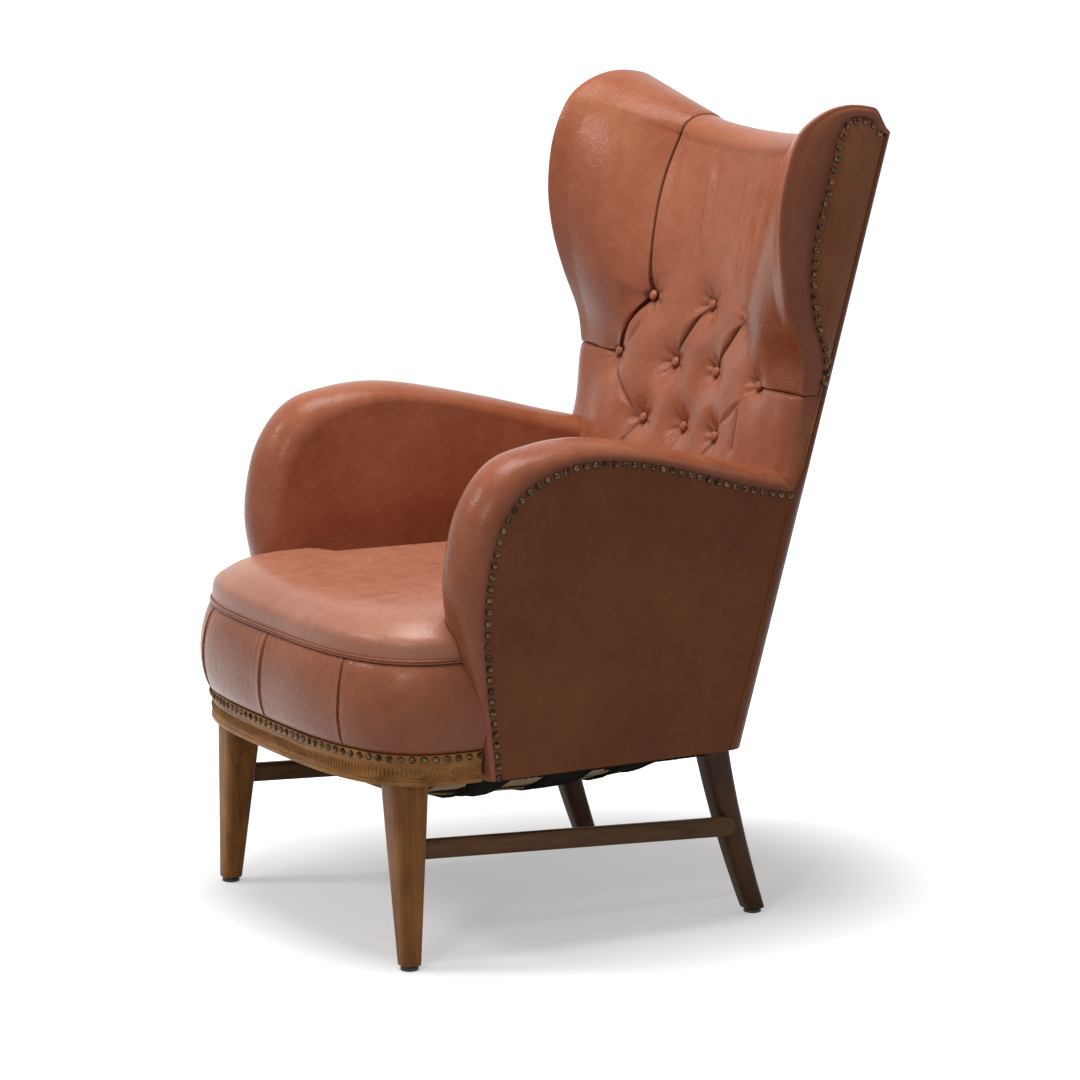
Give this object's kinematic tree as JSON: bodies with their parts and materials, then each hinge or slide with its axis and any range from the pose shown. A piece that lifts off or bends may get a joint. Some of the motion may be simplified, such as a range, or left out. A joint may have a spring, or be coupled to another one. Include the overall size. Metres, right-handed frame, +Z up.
{
  "type": "wingback armchair",
  "caption": "High-backed upholstered armchair with winged ears, rolled flared arms, tufted raked back, bow-fronted seat with a show-wood apron, tapered legs and side stretchers.",
  "frame": {"origin": "on the floor, under the middle of the chair's width and depth", "axes": "+Z up, the chair faces -Y, +X is the left-hand side of a person sitting in it"},
  "size_m": [0.6684, 0.8018, 1.076],
  "materials": {
    "tan_leather": "semi-gloss aged leather",
    "brown_leather": "satin aged leather",
    "honey_wood": "satin varnish",
    "dark_wood": "satin varnish",
    "frame_wood": "bare sawn wood",
    "aged_brass": "antique, tarnished",
    "black_metal": "worn enamel",
    "jute_webbing": "coarse weave",
    "pale_cloth": "unbleached calico"
  },
  "bodies": {
    "root": {"arm_pad_left": "tan_leather", "arm_pad_right": "tan_leather", "side_panel_left": "brown_leather", "side_panel_right": "brown_leather", "arm_nails_left": "aged_brass", "arm_nails_right": "aged_brass", "button_top_left": "tan_leather", "button_top_middle": "tan_leather", "button_top_right": "tan_leather", "button_middle_left": "tan_leather", "button_middle_inner_left": "tan_leather", "button_middle_inner_right": "tan_leather", "button_middle_right": "tan_leather", "button_low_left": "tan_leather", "button_low_middle": "tan_leather", "button_low_right": "tan_leather", "back_pad": "tan_leather", "rear_panel": "brown_leather", "wing_pad_left": "tan_leather", "wing_pad_right": "tan_leather", "wing_board_left": "frame_wood", "wing_board_right": "frame_wood", "wing_panel_left": "brown_leather", "wing_panel_right": "brown_leather", "wing_nails_left": "aged_brass", "wing_nails_right": "aged_brass", "front_apron": "honey_wood", "apron_nails": "aged_brass", "seat_band": "tan_leather", "seat_platform": "pale_cloth", "seat_cushion": "tan_leather", "seat_welt": "tan_leather", "side_rail_left": "frame_wood", "side_rail_right": "frame_wood", "rear_rail": "frame_wood", "lower_back_rail": "frame_wood", "crest_rail": "frame_wood", "rear_post_left": "frame_wood", "rear_post_right": "frame_wood", "arm_post_left": "frame_wood", "arm_post_right": "frame_wood", "arm_rail_left": "frame_wood", "arm_rail_right": "frame_wood", "front_block_left": "frame_wood", "front_block_right": "frame_wood", "rear_block_left": "frame_wood", "rear_block_right": "frame_wood", "seat_webbing": "jute_webbing", "front_leg_left": "honey_wood", "front_leg_right": "honey_wood", "rear_leg_left": "dark_wood", "rear_leg_right": "dark_wood", "front_glide_left": "black_metal", "front_glide_right": "black_metal", "rear_glide_left": "black_metal", "rear_glide_right": "black_metal", "side_stretcher_left": "dark_wood", "side_stretcher_right": "dark_wood"}
  },
  "joints": []
}
